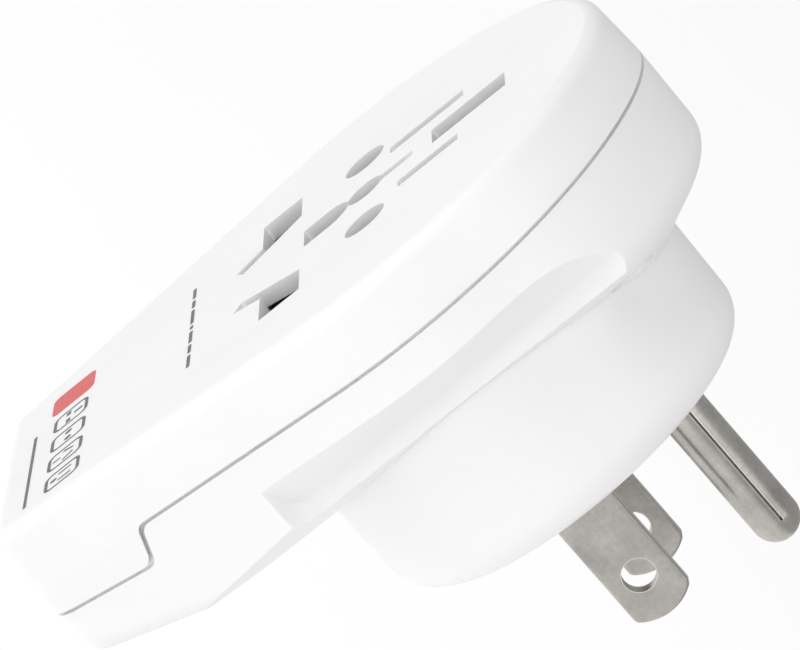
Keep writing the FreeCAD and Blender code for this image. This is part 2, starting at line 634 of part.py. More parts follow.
def shells():
    outer = soft_edges("outer_form", housing_form("outer_sharp", 0, 0))
    inner = housing_form("inner_form", size("wall"), size("face_wall"))
    shell = cut("shell", outer, inner)
    play = size("lap_clearance")

    above = zone("cover_zone", "0", "0")
    groove_top = zone("groove_zone", "-$lap_height - 0.15", "-$lap_height - 0.15")
    groove_band = cut("groove_band", above, groove_top)
    groove = lap("lap_groove", size("lap_inset") - play, size("wall") + 0.3, groove_band)
    in_face = "-$body_depth + $face_wall / 2"
    posts = [cylinder("cover_post", x, z, "$cover_post_r", in_face, "-$body_depth + $seam_depth - 0.4")
             for x, z in screw_places()]
    pilots = [cylinder("pilot", x, z, "$screw_r + $fit", "-$screw_tip - 0.5", "0") for x, z in screw_places()]
    stop = box("shutter_stop", ("-11", "11"),
               (in_face, "-$body_depth + $face_wall + $shutter_play + $rail_deep"),
               ("-$bar_low - 1.4", "-$bar_low - 0.2"))
    cover = common("cover_skin", shell, above)
    cover = fuse("cover_solid", cover, stop, *posts)
    piece("top_cover", cut("cover", cover, groove, socket_holes(), *pilots))

    below = zone("base_zone", "$seam_gap", "$seam_gap")
    tongue_top = zone("tongue_zone", "-$lap_height", "-$lap_height")
    tongue_foot = zone("tongue_foot", "$seam_gap + 0.6", "$seam_gap + 0.6")
    tongue_band = cut("tongue_band", tongue_foot, tongue_top)
    tongue = lap("lap_tongue", size("lap_inset"), size("wall"), tongue_band)
    base = cut("base_skin", shell, below)
    towers = [cylinder("tower", x, z, "$post_r", "-$body_depth + $seam_depth + 0.1", "0")
              for x, z in screw_places()]
    corners = both_sides("$carrier_x - 1.2", "-$carrier_low + 1.2")
    corners += both_sides("$carrier_neck - 1.8", "$carrier_high - 1.6")
    rests = [cylinder("rest", x, z, "1.4", "-$carrier_bottom", "0") for x, z in corners]
    inside = common("towers_inside", fuse("all_towers", *towers, *rests), outer)
    recesses = [cylinder("recess", x, z, "$recess_r", "-$screw_seat", "0") for x, z in screw_places()]
    shafts = [cylinder("shaft", x, z, "$screw_r + 0.2", "-%g" % FAR, "0") for x, z in screw_places()]
    mouth = cylinder("mouth", "0", "$round_centre", "$spigot_radius + $spigot_clearance",
                     "-$body_depth / 2 - 4", "0")
    base = fuse("base_solid", base, tongue, inside)
    piece("lower_housing", cut("base", base, mouth, *recesses, *shafts))


def blade_slots(name, play):
    """The two blades' slots as cutting tools, wider than the blades by play (a formula) on every side."""
    half_thick, half_wide = "($blade_thick / 2 + %s)" % play, "($blade_wide / 2 + %s)" % play
    return [box(name, (side + "$blade_x - " + half_thick, side + "$blade_x + " + half_thick),
                ("-%g" % FAR, "5"), ("-" + half_wide, half_wide)) for side in ("", "-")]


def plug_body():
    """The plug boss: a drafted cup whose top follows the crowned underside, with a spigot into the housing."""
    body = new_body("boss")
    disc = new_sketch(body, "XZ_Plane")
    circle(disc, "0", "$round_centre", "$boss_radius")
    pad(body, disc, "$crown_height + 6", draft="$boss_draft")
    fillet(body, lambda b: near(b.YMin, b.YMax, 0), "$boss_round")
    seat = form("boss_seat", 0, 0)
    round_the_end(seat, 0)
    boss = cut("boss_trimmed", body, seat)
    spigot = cylinder("spigot", "0", "$round_centre", "$spigot_radius", "-$spigot_top", "-$boss_round")
    hollow = cylinder("boss_hollow", "0", "$round_centre", "$spigot_radius - $spigot_wall",
                      "-%g" % FAR, "-$face_plate")
    nests = [box("nest", (side + "$blade_x - 2.2", side + "$blade_x + 2.2"), ("-6.4", "-$face_plate + 0.1"),
                 ("-$blade_wide / 2 - 1.4", "$blade_wide / 2 + 1.4")) for side in ("", "-")]
    pillars = [cylinder("pillar", x, z, "2.0", "-$retainer_y + $retainer_thick", "-$face_plate + 0.1")
               for x, z in both_sides("$retainer_screw_x", "$retainer_screw_z")]
    slots = blade_slots("slot", "$fit")
    pin_hole = cylinder("pin_hole", "0", "$pin_z", "$pin_r + $pin_swell + $fit", "-%g" % FAR, "5")
    pilots = [cylinder("pillar_pilot", x, z, "0.75", "-%g" % FAR, "-4.2")
              for x, z in both_sides("$retainer_screw_x", "$retainer_screw_z")]
    cup = cut("boss_cup", fuse("boss_solid", boss, spigot), hollow)
    lugs = [box("snap_lug", ("-2.5", "2.5"), ("-$spigot_top", "-$crown_height - $wall - %g" % gap), span)
            for gap, span in (
                (0.2, ("$round_centre + $spigot_radius - 0.5", "$round_centre + $spigot_radius + 0.8")),
                (0.97, ("$round_centre - $spigot_radius - 0.8", "$round_centre - $spigot_radius + 0.5")))]
    cup = fuse("boss_ribbed", cup, *nests, *pillars, *lugs)
    piece("plug_body", cut("plug", cup, pin_hole, *slots, *pilots))


# ---------------------------------------------------------------- plug pins

def blade(name, side):
    """A blade with a curved end and a hole, and a tab at its inner end that turns out under the bus."""
    body = new_body(name + "_strip")
    sketch = new_sketch(body, "YZ_Plane", side + "$blade_x - $blade_thick / 2")
    half, bend, centre = size("blade_wide") / 2, size("blade_end_r"), size("blade_out") - size("blade_end_r")
    shoulder = centre + math.sqrt(bend ** 2 - half ** 2)     # where the curved end meets the straight edges
    turn = math.asin(half / bend)
    inner_end = -size("blade_in")
    low, high = Vector(shoulder, -half, 0), Vector(shoulder, half, 0)
    inner_low, inner_high = Vector(inner_end, -half, 0), Vector(inner_end, half, 0)
    sketch.addGeometry(Part.Arc(Part.Circle(Vector(centre, 0, 0), Vector(0, 0, 1), bend), -turn, turn), False)
    for a, b in ((high, inner_high), (inner_high, inner_low), (inner_low, low)):
        sketch.addGeometry(Part.LineSegment(a, b), False)
    for line in range(4):
        sketch.addConstraint(Sketcher.Constraint("Coincident", line, 2, (line + 1) % 4, 1))
    for line, kind in ((1, "Horizontal"), (2, "Vertical"), (3, "Horizontal")):
        sketch.addConstraint(Sketcher.Constraint(kind, line))
    sketch.addConstraint(Sketcher.Constraint("PointOnObject", 0, 3, -1))
    dimension(sketch, "Radius", (0,), bend, "$blade_end_r")
    dimension(sketch, "DistanceX", (-1, 1, 0, 3), centre, "$blade_out - $blade_end_r")
    dimension(sketch, "DistanceY", (2, 2, 2, 1), 2 * half, "$blade_wide")
    dimension(sketch, "DistanceX", (2, 1, -1, 1), -inner_end, "$blade_in")
    pad(body, sketch, "$blade_thick")
    tip = size("blade_out")
    fillet(body, lambda b: b.XLength > 1 and near(b.YMin, b.YMax, shoulder), "$blade_corner")
    fillet(body, lambda b: b.XLength < 0.01 and b.YMax > tip - 3, "$blade_edge")
    hole = doc.addObject("Part::Cylinder", name + "_hole")
    hole.Placement = FreeCAD.Placement(Vector(), FreeCAD.Rotation(Vector(0, 1, 0), 90))
    hole.setExpression("Radius", named("$blade_hole_r"))
    hole.setExpression("Height", "40")
    hole.setExpression("Placement.Base.x", "-20")
    hole.setExpression("Placement.Base.y", named("$blade_hole_y"))
    reach = span_of(side, "$blade_x - $blade_thick / 2", "$bus_x - 0.3")
    tab = box(name + "_tab", reach, ("-$blade_in - $tab_thick", "-$blade_in"), ("-$tab_low", "-$tab_high"))
    eye = cylinder(name + "_eye", side + "$rivet_x", "-($tab_low + $tab_high) / 2", "$rivet_r", "-30", "0")
    piece(name, cut(name + "_cut", fuse(name + "_solid", body, tab), hole, eye))


def ground_pin():
    """A round pin rolled from sheet: rounded tip, the roll's joint as a fine groove, a flanged inner end."""
    rod = cylinder("pin_rod", "0", "$pin_z", "$pin_r", "-0.02", "$pin_out - $pin_r")
    root = cylinder("pin_root", "0", "$pin_z", "$pin_r + $pin_swell", "-$pin_in", "-0.02")
    ball = doc.addObject("Part::Sphere", "pin_tip")
    ball.setExpression("Radius", named("$pin_r"))
    ball.setExpression("Placement.Base.y", named("$pin_out - $pin_r"))
    ball.setExpression("Placement.Base.z", named("$pin_z"))
    flange = cylinder("pin_flange", "0", "$pin_z", "$pin_r + 1.6",
                      "-$face_plate - 0.9", "-$face_plate - 0.02")
    sine, cosine = "sin($pin_seam_angle * 1 deg)", "cos($pin_seam_angle * 1 deg)"
    deep, out = "($pin_r - $pin_seam_deep)", "($pin_r + 1)"
    joint = plate("pin_joint", "-$pin_in", "$pin_out - $pin_r", [[
        ("%s * %s + %s * %s" % (reach, sine, side, cosine),
         "$pin_z + %s * %s - %s * %s" % (reach, cosine, side, sine))
        for reach, side in ((deep, "-$pin_seam_half"), (out, "-$pin_seam_half"),
                            (out, "$pin_seam_half"), (deep, "$pin_seam_half"))]])
    piece("ground_pin", cut("pin", fuse("pin_solid", root, rod, ball, flange), joint))


def blade_retainer():
    disc = cylinder("retainer_disc", "0", "$round_centre", "$retainer_r",
                    "-$retainer_y", "-$retainer_y + $retainer_thick - $fit")
    slots = blade_slots("retainer_slot", "0.1")
    earth = box("retainer_window", ("-3.6", "3.6"), ("-20", "0"),
                ("$pin_z - 4.2", "$round_centre + $retainer_r + 1"))
    eyes = [cylinder("retainer_eye", x, z, "0.95", "-20", "0")
            for x, z in both_sides("$retainer_screw_x", "$retainer_screw_z")]
    piece("blade_retainer", cut("retainer", disc, earth, *slots, *eyes))


# ---------------------------------------------------------------- contacts

def bus(name, side):
    wall = plate(name + "_wall", "-$bus_top", "-$bus_bottom", [side_of(side, [
        ("$bus_x", "-$bus_low"), ("$bus_x + $bus_thick", "-$bus_low"),
        ("$bus_x + $bus_thick", "$bus_high"), ("$bus_x", "$bus_high")])])
    foot = plate(name + "_foot", "-$blade_in - $tab_thick - 0.6", "-$blade_in - $tab_thick", [side_of(side, [
        ("$rivet_x - 1.8", "-$tab_low"), ("$bus_x + $bus_thick", "-$tab_low"),
        ("$bus_x + $bus_thick", "-$tab_high"), ("$rivet_x - 1.8", "-$tab_high")])])
    eye = cylinder(name + "_eye", side + "$rivet_x", "-($tab_low + $tab_high) / 2", "$rivet_r", "-30", "0")
    piece(name, cut(name + "_cut", fuse(name + "_solid", wall, foot), eye))


def uk_clip(name, side):
    """Two leaves across a rectangular pin, on a web; the lower leaf turns along the slanted blade."""
    low, high = "$uk_z - $uk_gap / 2", "$uk_z + $uk_gap / 2"
    web = "$bus_x - $sheet"
    piece(name, plate(name, "-$clip_top", "-$clip_bottom", [side_of(side, [
        ("$bus_x", low + " - $sheet"), ("$bus_x", high + " + $sheet"), ("8.4", high + " + $sheet"),
        ("8.4", high), (web, high), (web, low), ("8.2", low), ("6.35", low + " - 3.1"),
        ("6.35", low + " - 3.1 - $sheet * 1.3"), ("8.3", low + " - $sheet")])]))


def euro_clip(name, side):
    """A split tube round the pin, on a web from the bus."""
    outer = cylinder(name + "_out", side + "$euro_x", "$euro_z", "$euro_tube_r + $sheet",
                     "-$clip_top", "-$clip_bottom")
    bore = cylinder(name + "_bore", side + "$euro_x", "$euro_z", "$euro_tube_r", "-30", "0")
    reach = span_of(side, "$euro_x + $euro_tube_r", "$bus_x")
    arm = box(name + "_arm", reach, ("-$bus_top", "-$clip_bottom"), ("$euro_z - $sheet", "$euro_z"))
    split = box(name + "_split", span_of(side, "$euro_x - 4", "$euro_x"), ("-30", "0"),
                ("$euro_z - 0.5", "$euro_z + 0.5"))
    piece(name, cut(name + "_cut", fuse(name + "_solid", outer, arm), bore, split))


def us_clip(name, side):
    """A hairpin round the flat blade, with an arm out to the bus."""
    near_x, far_x = "$us_x - $us_gap / 2", "$us_x + $us_gap / 2"
    low, high = "$us_z - $us_clip_long / 2", "$us_z + $us_clip_long / 2"
    piece(name, plate(name, "-$clip_top", "-$clip_bottom", [side_of(side, [
        (near_x + " - $sheet", low), (near_x, low), (near_x, high), (far_x, high), (far_x, low),
        (far_x + " + $sheet", low), (far_x + " + $sheet", high + " - 0.6"), ("$bus_x", high + " - 0.6"),
        ("$bus_x", high + " - 0.6 + $sheet"), (far_x + " + $sheet", high + " - 0.6 + $sheet"),
        (far_x + " + $sheet", high + " + $sheet"), (near_x + " - $sheet", high + " + $sheet")])]))


def earth_clips():
    """Two hairpins on the axis, back to back, riveted to the link down to the ground pin."""
    wide, slit = "$earth_gap / 2", "$earth_slit_gap / 2"
    back = "$au_earth_end"
    inner = [(wide, "-4.4"), (wide, "0.9"), (slit, "4.6"), (slit, back)]
    outer = [("%s + $sheet" % wide, "-4.4"), ("%s + $sheet" % wide, "1.0"),
             ("%s + $sheet" % slit, "4.8"), ("%s + $sheet" % slit, back + " + $sheet")]
    ring = inner + side_of("-", inner[::-1]) + side_of("-", outer) + outer[::-1]
    us_leaf = plate("earth_us_leaf", "-$clip_top", "-$clip_bottom", [ring])
    piece("earth_us_clip", cut("earth_us_clip_cut", us_leaf, earth_eye("us_eye")))
    half = "$uk_earth_wide / 2 - 0.15"
    low, high = "$uk_earth_z - $uk_earth_long / 2 - 0.35", "$uk_earth_z + $uk_earth_long / 2 - 0.6"
    leaf = [(half, high), (half, low), ("-(%s)" % half, low), ("-(%s)" % half, high),
            ("-(%s) - $sheet" % half, high), ("-(%s) - $sheet" % half, low + " - $sheet"),
            ("%s + $sheet" % half, low + " - $sheet"), ("%s + $sheet" % half, high)]
    uk_leaf = plate("earth_uk_leaf", "-$clip_top", "-$clip_bottom", [leaf])
    piece("earth_uk_clip", cut("earth_uk_clip_cut", uk_leaf, earth_eye("uk_eye")))
    z_low, z_high = back + " + $sheet", low + " - $sheet"
    riser = box("link_riser", ("-1.35", "1.35"), ("-$clip_top + 1.6", "-$pin_in"), (z_low, z_high))
    foot = box("link_foot", ("-3.2", "3.2"), ("-$pin_in - 0.6", "-$pin_in"), (z_low, "$pin_z + $pin_r + 0.8"))
    piece("earth_link", cut("link", fuse("link_solid", riser, foot), earth_eye("link_eye")))
    rivet = doc.addObject("Part::Cylinder", "rivet_shank")
    rivet.setExpression("Radius", named("$rivet_r - 0.01"))
    rivet.setExpression("Height", named("(%s) - (%s)" % (z_high + " + $sheet", back)))
    rivet.setExpression("Placement.Base.y", named("-$clip_bottom - 2.2"))
    rivet.setExpression("Placement.Base.z", named(back))
    heads = []
    for z in (back + " - 0.35", low):
        head = doc.addObject("Part::Cylinder", "rivet_head")
        head.setExpression("Radius", "0.9")
        head.setExpression("Height", "0.35")
        head.setExpression("Placement.Base.y", named("-$clip_bottom - 2.2"))
        head.setExpression("Placement.Base.z", named(z))
        heads.append(head)
    piece("earth_rivet", fuse("earth_rivet_solid", rivet, *heads))


def earth_eye(name):
    """The rivet's hole through the backs of the earth clips."""
    eye = doc.addObject("Part::Cylinder", name)
    eye.setExpression("Radius", named("$rivet_r"))
    eye.setExpression("Height", "20")
    eye.setExpression("Placement.Base.y", named("-$clip_bottom - 2.2"))
    return eye


def terminal_rivets():
    solids = []
    for x, z in both_sides("$rivet_x", "-($tab_low + $tab_high) / 2"):
        top = "-$blade_in - $tab_thick - 0.6"
        solids.append(fuse("terminal_rivet", cylinder("shank", x, z, "$rivet_r - 0.01", top, "-$blade_in"),
                           cylinder("head", x, z, "1.3", top + " - 0.5", top),
                           cylinder("tail", x, z, "1.2", "-$blade_in", "-$blade_in + 0.5")))
    piece("terminal_rivets", compound("rivets", solids))


def compound(name, solids):
    group = doc.addObject("Part::Compound", name)
    group.Links = solids
    doc.recompute()
    return group


# ---------------------------------------------------------------- carrier and shutter

def contact_carrier():
    """The insulating block that holds the contacts, open below, with pin windows in its top plate."""
    edge = [("$carrier_x", "-$carrier_low"), ("$carrier_x", "$carrier_shoulder"),
            ("$carrier_neck", "$carrier_shoulder"), ("$carrier_neck", "$carrier_high")]
    outline = edge + side_of("-", edge[::-1])
    block = plate("carrier_block", "-$carrier_top", "-$carrier_bottom", [outline])
    pocket_low, pocket_high = "-$carrier_low + $rib", "$bus_high + $rib"
    side = [("$channel_half + $rib", pocket_low), ("$carrier_x - $rib", pocket_low),
            ("$carrier_x - $rib", pocket_high), ("$channel_half + $rib", pocket_high)]
    channel = [("-$channel_half", "-5.2"), ("$channel_half", "-5.2"),
               ("$channel_half", "$carrier_high - $rib"), ("-$channel_half", "$carrier_high - $rib")]
    cells = plate("carrier_cells", "-$carrier_top + $carrier_plate", "0",
                  [side_of("", side), side_of("-", side), channel])
    uk_earth_low = "$uk_earth_z - $uk_earth_long / 2 - $window_play"
    uk_earth_high = "$uk_earth_z + $uk_earth_long / 2 + $window_play"
    poles = (
        ("$channel_half + $rib + 0.1", "$uk_outer + 0.3",
         "-$carrier_low + $rib + 0.1", "$uk_z + $uk_long / 2 + 0.3"),
        ("$us_x - $us_wide / 2 - $window_play", "$us_x + $us_wide / 2 + $window_play",
         "$us_z - $us_long_left / 2 - $window_play", "$us_z + $us_long_left / 2 + $window_play"),
    )
    openings = [side_of(sign, corners_of(*edges)) for edges in poles for sign in ("", "-")]
    openings.append(corners_of("-$mid_half - $window_play", "$mid_half + $window_play",
                               "-$mid_low - 0.3", "$au_earth_end + $window_play"))
    openings.append(corners_of("-$uk_earth_wide / 2 - $window_play", "$uk_earth_wide / 2 + $window_play",
                               uk_earth_low, uk_earth_high))
    windows = plate("carrier_windows", "-%g" % FAR, "0", openings)
    euro = [cylinder("carrier_round", x, z, "$euro_r + $window_play", "-%g" % FAR, "0")
            for x, z in both_sides("$euro_x", "$euro_z")]
    under_cover = "-$body_depth + $face_wall + 0.05"
    anchors = [box("anchor", span_of(sign, "$rail_out + 0.3", "$lug_x + $spring_r + $wire_r"),
                   (under_cover, "-$carrier_top + 1"), ("$anchor_z", "$anchor_z + $anchor_thick"))
               for sign in ("", "-")]
    guides = [box("guide", span_of(sign, "$rail_out + 0.2", "$rail_out + 1.2"),
                  (under_cover, "-$carrier_top + 0.1"), ("-$carrier_low + 0.2", "$lug_z - $lug_thick - 1"))
              for sign in ("", "-")]
    solid = cut("carrier_open", block, cells, windows, *euro)
    piece("contact_carrier", fuse("carrier", solid, *anchors, *guides))


def wedge(name, x_low, x_high, corners):
    """A shutter vane: a sloping section in the YZ plane, between two formulas of X."""
    body = new_body(name)
    sketch = new_sketch(body, "YZ_Plane", x_low)
    polygon(sketch, corners)
    pad(body, sketch, "(%s) - (%s)" % (x_high, x_low))
    return body


def shutter():
    """The sprung shutter: two rails and a bar carry four sloping vanes, which slide clear of the pole holes."""
    top = "-$body_depth + $face_wall + $shutter_play"
    low = "-$carrier_top - $shutter_play"
    rail_low = top + " + $rail_deep"
    parts = []
    lean = "($au_tilt * 1 deg)"
    tip = "$au_z - $au_half_long * cos%s - $au_half_wide * sin%s - 0.25" % (lean, lean)
    uk_high = "$uk_z + $uk_long / 2 + 0.25"
    euro_low, euro_high = "$euro_z - $euro_r - 0.25", "$euro_z + $euro_r + 0.3"
    inner_uk = "$au_x - $au_half_long * sin%s - $au_half_wide * cos%s - 0.2" % (lean, lean)
    inner_euro = "$euro_x - $euro_r - 0.2"
    for sign in ("", "-"):
        parts.append(box("rail", span_of(sign, "$rail_in", "$rail_out"), (top, rail_low),
                         ("-$bar_low", euro_high)))
        parts.append(box("lug", span_of(sign, "$rail_out - 0.1", "$lug_x + $spring_r + $wire_r"),
                         (top + " + 0.3", low + " - 0.4"), ("$lug_z - $lug_thick", "$lug_z")))
        parts.append(wedge("uk_vane", *span_of(sign, inner_uk, "$rail_in + 0.1"),
                           [(top, uk_high), (low, uk_high), (low, tip), (low + " - 0.8", tip)]))
        parts.append(wedge("euro_vane", *span_of(sign, inner_euro, "$rail_in + 0.1"),
                           [(top, euro_high), (low, euro_high), (low, euro_low), (low + " - 1.2", euro_low)]))
    parts.append(box("bar", ("-$rail_out", "$rail_out"), (top, rail_low), ("-$bar_low", "-$bar_high")))
    piece("shutter", fuse("shutter_solid", *parts))


def shutter_spring(name, side):
    """A helical spring between the shutter's lug and the carrier's anchor."""
    radius, wire, turns = size("spring_r"), size("wire_r"), size("spring_turns")
    start, end = size("lug_z") + wire + 0.05, size("anchor_z") - wire - 0.05
    centre_y = (-size("body_depth") + size("face_wall") - size("carrier_top")) / 2
    helix = Part.makeHelix((end - start) / turns, end - start, radius)
    section = Part.Wire([Part.makeCircle(wire, Vector(radius, 0, 0), Vector(0, 1, 0.1))])
    coil = Part.Wire(helix.Edges).makePipeShell([section], True, False)
    feature = doc.addObject("Part::Feature", name)
    feature.Shape = coil
    feature.Placement = FreeCAD.Placement(Vector(side * size("lug_x"), centre_y, start), FreeCAD.Rotation())
    piece(name, feature)


# ---------------------------------------------------------------- screws

def screws(name, places, seat, tip, radius, head_radius, head):
    solids = []
    for x, z in places:
        shank = cylinder(name + "_shank", x, z, radius, tip, seat + " + 0.1")
        cap = cylinder(name + "_head", x, z, head_radius, seat, "%s + %s" % (seat, head))
        long, thin = head_radius + " * 0.6", "0.25"     # half sizes of each arm of the cross
        cross = [box(name + "_cross", ("%s - %s" % (x, a), "%s + %s" % (x, a)),
                     ("%s + %s - 0.7" % (seat, head), "%s + %s + 1" % (seat, head)),
                     ("%s - %s" % (z, b), "%s + %s" % (z, b))) for a, b in ((long, thin), (thin, long))]
        solids.append(cut(name + "_one", fuse(name + "_solid", shank, cap), *cross))
    piece(name, compound(name + "_all", solids))


def retainer_screws():
    solids = []
    for x, z in both_sides("$retainer_screw_x", "$retainer_screw_z"):
        shank = cylinder("short_shank", x, z, "0.7", "-$retainer_y - 0.1", "-4.6")
        cap = cylinder("short_head", x, z, "1.5", "-$retainer_y - 1.1", "-$retainer_y")
        slit = box("short_slit", (x + " - 1.1", x + " + 1.1"), ("-$retainer_y - 2", "-$retainer_y - 0.6"),
                   (z + " - 0.2", z + " + 0.2"))
        solids.append(cut("short_screw", fuse("short_solid", shank, cap), slit))
    piece("retainer_screws", compound("retainer_screws_all", solids))


shells()
plug_body()
for label, mark in (("left_blade", "-"), ("right_blade", "")):
    blade(label, mark)
ground_pin()
blade_retainer()
for label, mark in (("left", "-"), ("right", "")):
    bus(label + "_bus", mark)
    uk_clip(label + "_uk_clip", mark)
    euro_clip(label + "_euro_clip", mark)
    us_clip(label + "_us_clip", mark)
earth_clips()
terminal_rivets()
contact_carrier()
shutter()
for label, mark in (("left_shutter_spring", -1), ("right_shutter_spring", 1)):
    shutter_spring(label, mark)
retainer_screws()
screws("housing_screws", list(screw_places()), "-$screw_seat", "-$screw_tip", "$screw_r", "$screw_head_r", "$screw_head")

doc.recompute()
for item in doc.Objects:
    if "Invalid" in item.State or "Error" in item.State:
        raise ValueError("%s (%s) failed: %s" % (item.Name, item.Label, item.State))
os.makedirs("parts", exist_ok=True)
for item in PIECES:
    if item.Shape.isNull() or not item.Shape.isValid() or not item.Shape.Solids:
        raise ValueError("%s has no valid solid" % item.Label)
    item.Shape.exportStep("parts/%s.step" % item.Label)
    print(item.Label, len(item.Shape.Solids), round(item.Shape.Volume, 2))
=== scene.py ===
import json
import math

import bmesh
import bpy
from mathutils import Matrix, Vector


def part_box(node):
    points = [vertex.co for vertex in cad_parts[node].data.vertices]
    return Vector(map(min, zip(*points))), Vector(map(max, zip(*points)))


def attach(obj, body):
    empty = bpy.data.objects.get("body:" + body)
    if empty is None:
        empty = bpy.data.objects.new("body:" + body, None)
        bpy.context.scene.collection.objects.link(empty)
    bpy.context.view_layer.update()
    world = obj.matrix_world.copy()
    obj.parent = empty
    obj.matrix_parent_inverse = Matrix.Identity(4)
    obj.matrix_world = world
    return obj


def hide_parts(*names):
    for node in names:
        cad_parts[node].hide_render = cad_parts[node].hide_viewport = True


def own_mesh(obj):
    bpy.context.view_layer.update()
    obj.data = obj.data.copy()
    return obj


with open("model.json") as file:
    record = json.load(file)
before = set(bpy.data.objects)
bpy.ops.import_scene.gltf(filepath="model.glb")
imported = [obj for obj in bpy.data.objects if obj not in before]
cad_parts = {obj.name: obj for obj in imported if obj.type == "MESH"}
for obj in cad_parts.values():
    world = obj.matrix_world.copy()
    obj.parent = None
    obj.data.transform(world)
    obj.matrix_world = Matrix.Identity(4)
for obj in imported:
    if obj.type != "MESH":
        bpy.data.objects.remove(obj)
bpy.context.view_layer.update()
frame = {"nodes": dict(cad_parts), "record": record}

MM = 0.001
nodes = frame["nodes"]
scene = bpy.context.scene


# ---------------------------------------------------------------- materials

MIX_FACTOR, MIX_A, MIX_B, MIX_RESULT = 0, 6, 7, 2     # the Mix node's sockets for colours


class Shader:
    """A node-based material: a Principled shader with helpers for what feeds it."""

    def __init__(self, name, **inputs):
        self.material = bpy.data.materials.new(name)
        self.material.use_nodes = True
        self.tree = self.material.node_tree
        self.bsdf = self.tree.nodes["Principled BSDF"]
        self.coords = self.tree.nodes.new("ShaderNodeTexCoord").outputs["Object"]
        for socket, value in inputs.items():
            self.bsdf.inputs[socket.replace("_", " ")].default_value = value

    def node(self, kind, **settings):
        new = self.tree.nodes.new("ShaderNode" + kind)
        for key, value in settings.items():
            setattr(new, key, value)
        return new

    def link(self, output, target):
        self.tree.links.new(output, target)

    def noise(self, scale, detail=2.0, stretch=(1, 1, 1), roughness=0.5):
        mapping = self.node("Mapping")
        mapping.inputs["Scale"].default_value = stretch
        self.link(self.coords, mapping.inputs["Vector"])
        noise = self.node("TexNoise")
        noise.inputs["Scale"].default_value = scale
        noise.inputs["Detail"].default_value = detail
        noise.inputs["Roughness"].default_value = roughness
        self.link(mapping.outputs["Vector"], noise.inputs["Vector"])
        return noise.outputs["Fac"]

    def spread(self, value, low, high, from_low=0.3, from_high=0.7):
        """value's middle stretch spread over low to high."""
        ranged = self.node("MapRange")
        limits = {"From Min": from_low, "From Max": from_high, "To Min": low, "To Max": high}
        for socket, number in limits.items():
            ranged.inputs[socket].default_value = number
        self.link(value, ranged.inputs["Value"])
        return ranged.outputs["Result"]

    def mix(self, factor, first, second):
        """first where factor is 0 and second where it is 1; each a colour or an output."""
        mix = self.node("Mix", data_type="RGBA")
        for socket, value in ((MIX_A, first), (MIX_B, second)):
            if isinstance(value, tuple):
                mix.inputs[socket].default_value = (*value, 1)
            else:
                self.link(value, mix.inputs[socket])
        self.link(factor, mix.inputs[MIX_FACTOR])
        return mix.outputs[MIX_RESULT]

    def add(self, first, second):
        total = self.node("Math", operation="ADD")
        self.link(first, total.inputs[0])
        self.link(second, total.inputs[1])
        return total.outputs[0]

    def edges(self, radius, low, high):
        """0 on flat ground and 1 on edges sharper than about radius."""
        bevel = self.node("Bevel", samples=6)
        bevel.inputs["Radius"].default_value = radius
        geometry = self.node("NewGeometry")
        dot = self.node("VectorMath", operation="DOT_PRODUCT")
        self.link(bevel.outputs["Normal"], dot.inputs[0])
        self.link(geometry.outputs["Normal"], dot.inputs[1])
        return self.spread(dot.outputs["Value"], 1, 0, low, high)

    def occlusion(self, reach):
        """0 deep inside gaps narrower than about reach, and 1 in the open."""
        occlusion = self.node("AmbientOcclusion", samples=8, only_local=True)
        occlusion.inputs["Distance"].default_value = reach
        return occlusion.outputs["AO"]

    def color(self, output):
        self.link(output, self.bsdf.inputs["Base Color"])

    def rough(self, output):
        self.link(output, self.bsdf.inputs["Roughness"])

    def bump(self, height, distance, strength, under=None):
        bump = self.node("Bump")
        bump.inputs["Distance"].default_value = distance
        bump.inputs["Strength"].default_value = strength
        self.link(height, bump.inputs["Height"])
        if under:
            self.link(under, bump.inputs["Normal"])
        self.link(bump.outputs["Normal"], self.bsdf.inputs["Normal"])
        return bump.outputs["Normal"]


def white_plastic():
    """Satin polycarbonate: fine grain, flow clouds, polished edges with a painted highlight, and
    painted light glowing in narrow gaps.
    """
    s = Shader("white_plastic", IOR=1.5, Subsurface_Weight=0.2, Subsurface_Scale=1.5 * MM)
    s.bsdf.inputs["Subsurface Radius"].default_value = (1.0, 0.75, 0.72)
    clouds = s.noise(scale=55, detail=3)
    grain = s.noise(scale=3400, detail=2, roughness=0.6)
    edge = s.edges(0.6 * MM, 0.86, 0.995)
    body = s.mix(s.spread(clouds, 0, 1), (0.885, 0.883, 0.884), (0.915, 0.912, 0.91))
    # painted highlight: edges get a paler colour; their lower roughness below is the real polish
    s.color(s.mix(s.spread(edge, 0, 0.5, 0, 1), body, (0.93, 0.93, 0.925)))
    # painted light: the plastic glows in narrow gaps and hole walls, an emission standing in for
    # light reaching into them
    s.bsdf.inputs["Emission Color"].default_value = (1.0, 0.93, 0.925, 1)
    painted_gap_light = s.spread(s.occlusion(2 * MM), 0.4, 0, 0.2, 0.65)
    s.link(painted_gap_light, s.bsdf.inputs["Emission Strength"])
    s.rough(s.add(s.spread(grain, 0.33, 0.43), s.spread(edge, 0, -0.08, 0, 1)))
    wide = s.bump(clouds, distance=0.06 * MM, strength=0.35)
    s.bump(grain, distance=0.012 * MM, strength=0.5, under=wide)
    return s.material


def dark_plastic(name, dark, light, grain_scale):
    """Matt filled nylon: fine grain and pale specks of filler."""
    s = Shader(name, IOR=1.48)
    grain = s.noise(grain_scale, detail=3, roughness=0.65)
    specks = s.noise(grain_scale * 0.4, detail=1)
    s.color(s.mix(s.spread(specks, 0, 1, 0.45, 0.75), dark, light))
    s.rough(s.spread(grain, 0.45, 0.62))
    s.bump(grain, distance=0.02 * MM, strength=0.6)
    return s.material


